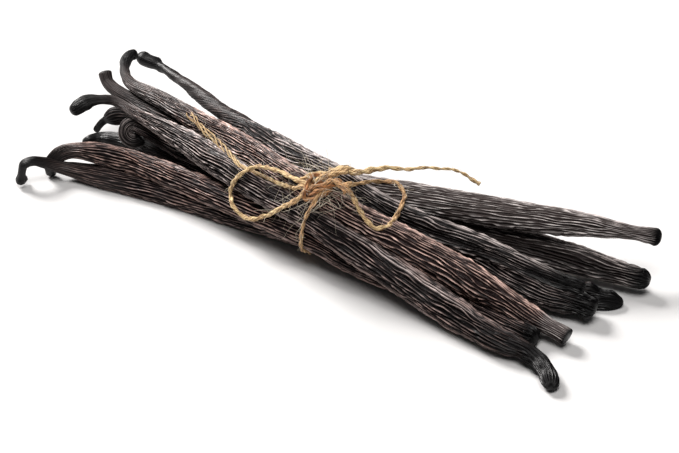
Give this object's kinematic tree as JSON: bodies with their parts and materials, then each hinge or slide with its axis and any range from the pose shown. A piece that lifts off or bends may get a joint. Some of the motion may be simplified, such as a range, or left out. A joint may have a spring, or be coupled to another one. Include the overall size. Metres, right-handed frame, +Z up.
{
  "type": "bundle of vanilla pods",
  "caption": "Slim cured vanilla pods, wrinkled and nearly black with curled stem ends, fanned out from a waist tied with jute twine in a bow.",
  "frame": {"origin": "on the surface that the bundle lies on, under the middle of its length and width", "axes": "+X along the pods towards their blossom ends, +Y across, away from the side that the knot leans to, +Z up"},
  "size_m": [0.1774, 0.0806, 0.029],
  "materials": {
    "pod_dark": "waxy, finely wrinkled",
    "pod_black": "waxy, finely wrinkled",
    "pod_red": "waxy, finely wrinkled",
    "twine": "dry, hairy jute"
  },
  "bodies": {
    "root": {"pod_1": "pod_dark", "pod_2": "pod_dark", "pod_3": "pod_dark", "pod_4": "pod_black", "pod_5": "pod_red", "pod_6": "pod_dark", "pod_7": "pod_black", "pod_8": "pod_dark", "pod_9": "pod_black", "twine_wrap": "twine", "twine_knot": "twine", "loop_left": "twine", "tail_left": "twine", "loop_right": "twine", "tail_right": "twine"}
  },
  "joints": []
}
